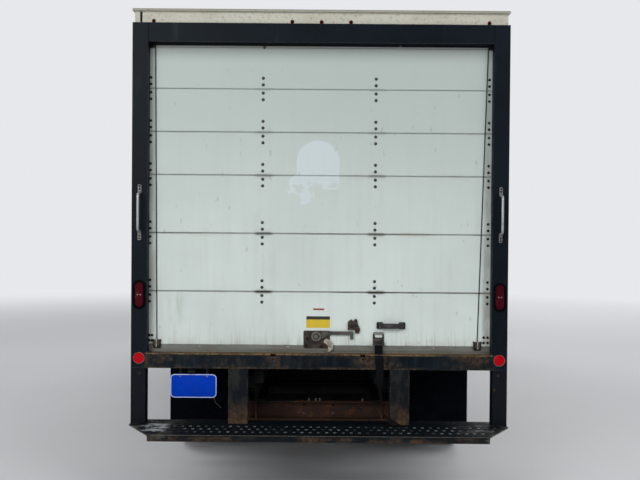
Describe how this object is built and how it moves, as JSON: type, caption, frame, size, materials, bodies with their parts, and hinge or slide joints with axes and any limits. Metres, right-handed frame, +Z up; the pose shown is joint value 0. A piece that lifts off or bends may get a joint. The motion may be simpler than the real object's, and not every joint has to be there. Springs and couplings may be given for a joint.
{
  "type": "box truck",
  "caption": "Box truck with a van cab, a ladder chassis on twin rear wheels, a dry freight body with a roll-up rear door and a step bumper.",
  "frame": {"origin": "ground, at the middle of the length and width", "axes": "+Z up, +Y towards the front of the cab, +X to the vehicle's right; the picture is taken from behind, so +X is to the right in it"},
  "size_m": [2.55, 7.25, 3.185],
  "materials": {
    "chassis_black": "satin black paint, dusty",
    "rusty_steel": "black paint gone brown with rust",
    "cast_iron": "dull cast metal",
    "exhaust_steel": "aluminised steel, heat stained",
    "tank_steel": "black paint",
    "floor_wood": "laminated hardwood deck on steel bearers",
    "body_white": "white baked paint, dusty",
    "body_rail": "mill aluminium, dull",
    "frame_navy": "blue-black paint, chipped to rust at its edges",
    "lamp_red": "red lens",
    "lamp_amber": "amber lens",
    "galvanised": "zinc plate gone grey, rust at the edges",
    "handle_black": "black paint, worn",
    "door_grey": "pale grey baked paint, grimy at the seams",
    "door_rail": "extruded aluminium, scratched",
    "webbing": "woven webbing, frayed",
    "flap_rubber": "black rubber sheet",
    "cab_white": "white gloss paint",
    "glass": "lightly tinted safety glass",
    "mirror_black": "grained black plastic with a mirror face",
    "interior_grey": "grained grey plastic",
    "seat_cloth": "grey woven cloth",
    "bumper_grey": "grey painted steel",
    "grille_grey": "grey moulded plastic",
    "lamp_clear": "clear fluted lens",
    "tyre": "black rubber, greyed at the tread",
    "wheel_white": "white painted steel, road grime"
  },
  "bodies": {
    "chassis": {"ladder_frame": "chassis_black", "rear_crossmember": "rusty_steel", "rear_axle": "chassis_black", "front_axle": "chassis_black", "leaf_springs": "chassis_black", "propshaft": "chassis_black", "engine": "cast_iron", "fuel_tank": "tank_steel", "exhaust": "exhaust_steel", "box_floor": "floor_wood", "box_wall_left": "body_white", "box_wall_right": "body_white", "box_wall_front": "body_white", "box_roof": "body_white", "box_rails": "body_rail", "rear_frame": "frame_navy", "roof_cap": "body_white", "rear_lamps": "lamp_red", "marker_lamps": "lamp_amber", "grab_handles": "handle_black", "roll_door": "door_grey", "door_bottom_rail": "door_rail", "lift_cables": "galvanised", "door_hardware": "galvanised", "pull_strap": "webbing", "step_bumper": "handle_black", "bumper_posts": "chassis_black", "mud_flaps": "flap_rubber", "cab_shell": "cab_white", "windscreen": "glass", "dashboard": "interior_grey", "seats": "seat_cloth", "front_bumper": "bumper_grey", "grille": "grille_grey", "headlamps": "lamp_clear", "front_wings": "cab_white"},
    "hood": {"hood": "cab_white"},
    "door_left": {"door_left": "cab_white", "door_glass_left": "glass", "mirror_left": "mirror_black"},
    "knuckle_left": {"knuckle_left": "cast_iron"},
    "front_wheel_left": {"front_tyre_left": "tyre", "front_rim_left": "wheel_white"},
    "rear_wheels_left": {"rear_tyres_left": "tyre", "rear_rims_left": "wheel_white"},
    "door_right": {"door_right": "cab_white", "door_glass_right": "glass", "mirror_right": "mirror_black"},
    "knuckle_right": {"knuckle_right": "cast_iron"},
    "front_wheel_right": {"front_tyre_right": "tyre", "front_rim_right": "wheel_white"},
    "rear_wheels_right": {"rear_tyres_right": "tyre", "rear_rims_right": "wheel_white"},
    "steering_wheel": {"steering_wheel": "interior_grey"}
  },
  "joints": [
    {"name": "door_left_hinge", "type": "hinge", "parent": "chassis", "child": "door_left", "pos_m": [-1.002, 2.243, 1], "axis": [0, 0, -1], "range_deg": [0, 65]},
    {"name": "door_right_hinge", "type": "hinge", "parent": "chassis", "child": "door_right", "pos_m": [1.002, 2.243, 1], "axis": [0, 0, 1], "range_deg": [0, 65]},
    {"name": "hood_hinge", "type": "hinge", "parent": "chassis", "child": "hood", "pos_m": [0, 2.651, 1.286], "axis": [1, 0, 0], "range_deg": [0, 50]},
    {"name": "steer_left", "type": "hinge", "parent": "chassis", "child": "knuckle_left", "pos_m": [-0.77, 2.725, 0.372], "axis": [0, 0, 1], "range_deg": [-32, 32]},
    {"name": "steer_right", "type": "hinge", "parent": "chassis", "child": "knuckle_right", "pos_m": [0.77, 2.725, 0.372], "axis": [0, 0, 1], "range_deg": [-32, 32]},
    {"name": "steering_wheel_turn", "type": "hinge", "parent": "chassis", "child": "steering_wheel", "pos_m": [-0.43, 1.925, 1.17], "axis": [0, -0.866, 0.5], "range_deg": [-448, 448]},
    {"name": "front_wheel_left_spin", "type": "hinge", "parent": "knuckle_left", "child": "front_wheel_left", "pos_m": [-0.87, 2.725, 0.372], "axis": [1, 0, 0], "continuous": true},
    {"name": "rear_wheels_left_spin", "type": "hinge", "parent": "chassis", "child": "rear_wheels_left", "pos_m": [-0.9175, -1.775, 0.372], "axis": [1, 0, 0], "continuous": true},
    {"name": "front_wheel_right_spin", "type": "hinge", "parent": "knuckle_right", "child": "front_wheel_right", "pos_m": [0.87, 2.725, 0.372], "axis": [1, 0, 0], "continuous": true},
    {"name": "rear_wheels_right_spin", "type": "hinge", "parent": "chassis", "child": "rear_wheels_right", "pos_m": [0.9175, -1.775, 0.372], "axis": [1, 0, 0], "continuous": true}
  ],
  "couplings": [
    {"joint": "steer_right", "follows": "steer_left", "ratio": 1},
    {"joint": "steering_wheel_turn", "follows": "steer_left", "ratio": 14}
  ]
}
